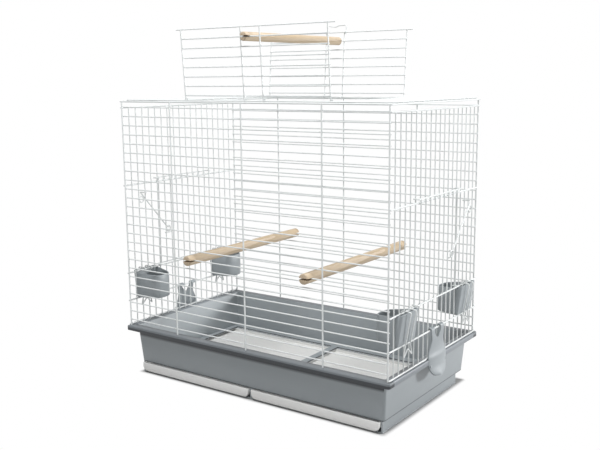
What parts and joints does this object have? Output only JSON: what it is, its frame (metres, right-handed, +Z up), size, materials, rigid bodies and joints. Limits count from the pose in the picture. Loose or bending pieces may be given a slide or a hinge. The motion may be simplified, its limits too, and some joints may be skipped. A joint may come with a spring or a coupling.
{
  "type": "bird cage",
  "caption": "White wire bird cage on a grey plastic base with two pull-out drawers, feeder cups, wooden perches and an open two-flap roof.",
  "frame": {"origin": "middle of the base on the surface the cage stands on", "axes": "+Z up, +X to the right seen from the drawer side, -Y to the front where the drawers pull out"},
  "size_m": [0.533, 0.304, 0.5858],
  "materials": {
    "enamelled_wire": "gloss",
    "grey_plastic": "satin",
    "white_plastic": "satin",
    "perch_wood": "matte"
  },
  "bodies": {
    "cage": {"base_tray": "grey_plastic", "base_plinth": "grey_plastic", "front_panel": "enamelled_wire", "back_panel": "enamelled_wire", "left_panel": "enamelled_wire", "right_panel": "enamelled_wire", "roof_frame": "enamelled_wire", "left_perch": "perch_wood", "right_perch": "perch_wood", "left_front_cup": "grey_plastic", "left_back_cup": "grey_plastic", "right_front_cup": "grey_plastic", "right_back_cup": "grey_plastic"},
    "front_flap": {"front_flap": "enamelled_wire", "roof_perch": "perch_wood"},
    "back_flap": {"back_flap": "enamelled_wire"},
    "roof_latch": {"roof_latch": "enamelled_wire"},
    "left_drawer": {"left_drawer": "white_plastic"},
    "right_drawer": {"right_drawer": "white_plastic"},
    "left_door": {"left_door": "enamelled_wire"},
    "right_door": {"right_door": "enamelled_wire"},
    "left_hook": {"left_hook": "enamelled_wire"},
    "right_hook": {"right_hook": "enamelled_wire"},
    "left_clip": {"left_clip": "grey_plastic"},
    "right_clip": {"right_clip": "grey_plastic"},
    "left_front_bail": {"left_front_bail": "enamelled_wire"},
    "left_back_bail": {"left_back_bail": "enamelled_wire"},
    "right_front_bail": {"right_front_bail": "enamelled_wire"},
    "right_back_bail": {"right_back_bail": "enamelled_wire"}
  },
  "joints": [
    {"name": "left_drawer_slide", "type": "slide", "parent": "cage", "child": "left_drawer", "axis": [0, -1, 0], "range_m": [0, 0.2]},
    {"name": "right_drawer_slide", "type": "slide", "parent": "cage", "child": "right_drawer", "axis": [0, -1, 0], "range_m": [0, 0.2]},
    {"name": "front_flap_hinge", "type": "hinge", "parent": "cage", "child": "front_flap", "pos_m": [0, -0.1125, 0.4642], "axis": [1, 0, 0], "range_deg": [0, 65]},
    {"name": "back_flap_hinge", "type": "hinge", "parent": "cage", "child": "back_flap", "pos_m": [0, 0.1125, 0.4642], "axis": [-1, 0, 0], "range_deg": [0, 65]},
    {"name": "roof_latch_hinge", "type": "hinge", "parent": "back_flap", "child": "roof_latch", "pos_m": [0.018, 0.1205, 0.57291], "axis": [-1, 0, 0], "range_deg": [0, 120]},
    {"name": "left_door_slide", "type": "slide", "parent": "cage", "child": "left_door", "axis": [0, 0, 1], "range_m": [0, 0.115]},
    {"name": "right_door_slide", "type": "slide", "parent": "cage", "child": "right_door", "axis": [0, 0, 1], "range_m": [0, 0.115]},
    {"name": "left_hook_hinge", "type": "hinge", "parent": "cage", "child": "left_hook", "pos_m": [-0.2503, -0.0975, 0.307], "axis": [0, 0, 1], "range_deg": [0, 100]},
    {"name": "right_hook_hinge", "type": "hinge", "parent": "cage", "child": "right_hook", "pos_m": [0.2503, 0.0975, 0.307], "axis": [0, 0, 1], "range_deg": [0, 100]},
    {"name": "left_clip_hinge", "type": "hinge", "parent": "cage", "child": "left_clip", "pos_m": [-0.2525, 0, 0.126], "axis": [0, 1, 0], "range_deg": [0, 60]},
    {"name": "right_clip_hinge", "type": "hinge", "parent": "cage", "child": "right_clip", "pos_m": [0.2525, 0, 0.126], "axis": [0, -1, 0], "range_deg": [0, 60]},
    {"name": "left_front_bail_hinge", "type": "hinge", "parent": "cage", "child": "left_front_bail", "pos_m": [-0.2525, -0.0975, 0.1735], "axis": [0, 1, 0], "range_deg": [0, 100]},
    {"name": "left_back_bail_hinge", "type": "hinge", "parent": "cage", "child": "left_back_bail", "pos_m": [-0.2525, 0.0975, 0.1735], "axis": [0, 1, 0], "range_deg": [0, 100]},
    {"name": "right_front_bail_hinge", "type": "hinge", "parent": "cage", "child": "right_front_bail", "pos_m": [0.2525, -0.0975, 0.1735], "axis": [0, -1, 0], "range_deg": [0, 100]},
    {"name": "right_back_bail_hinge", "type": "hinge", "parent": "cage", "child": "right_back_bail", "pos_m": [0.2525, 0.0975, 0.1735], "axis": [0, -1, 0], "range_deg": [0, 100]}
  ],
  "couplings": [
    {"joint": "left_hook_hinge", "follows": "left_door_slide", "rad_per_m": 15.17},
    {"joint": "right_hook_hinge", "follows": "right_door_slide", "rad_per_m": 15.17}
  ]
}
